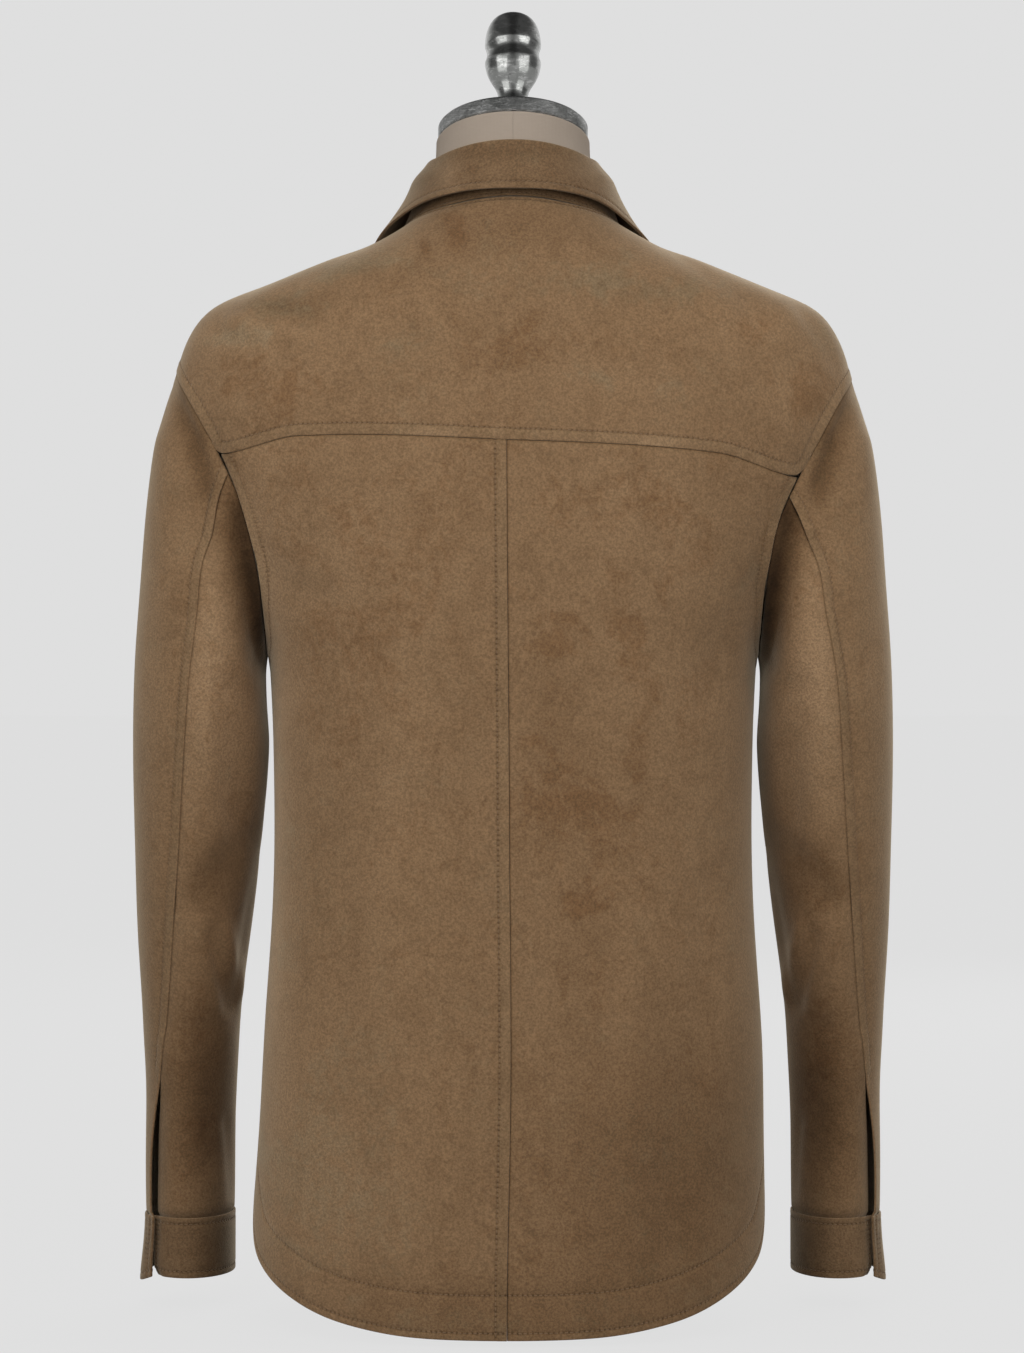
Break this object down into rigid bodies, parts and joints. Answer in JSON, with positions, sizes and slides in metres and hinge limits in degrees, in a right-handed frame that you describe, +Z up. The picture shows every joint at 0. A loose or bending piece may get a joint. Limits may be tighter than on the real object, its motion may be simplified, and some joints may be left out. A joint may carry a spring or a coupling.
{
  "type": "suede shirt jacket on a dress form",
  "caption": "Long-sleeved suede shirt jacket with a turned-down collar, back yoke and vented cuffs, worn by a limbless dress form.",
  "frame": {"origin": "centre of the round foot's flat underside, on the surface that the dress form stands on", "axes": "+Z up; the wearer's left is +X; the front faces -Y and the back faces +Y"},
  "size_m": [0.5252, 0.264, 0.9034],
  "materials": {
    "suede": "brushed suede, matt, with a short uneven nap",
    "button": "dark horn-like button",
    "form_cloth": "plain woven cotton over a firm form",
    "pewter": "cast metal with an aged, rubbed silver finish",
    "steel": "plain satin steel"
  },
  "bodies": {
    "root": {"yoke": "suede", "back_left": "suede", "back_right": "suede", "front_left": "suede", "front_right": "suede", "collar_stand": "suede", "collar_leaf": "suede", "upper_sleeve_left": "suede", "under_sleeve_left": "suede", "upper_sleeve_right": "suede", "under_sleeve_right": "suede", "cuff_left": "suede", "cuff_right": "suede", "button_1": "button", "button_2": "button", "button_3": "button", "button_4": "button", "button_5": "button", "button_6": "button", "form_torso": "form_cloth", "form_neck": "form_cloth", "neck_cap": "pewter", "finial": "pewter", "form_pole": "steel", "form_foot": "steel"}
  },
  "joints": []
}
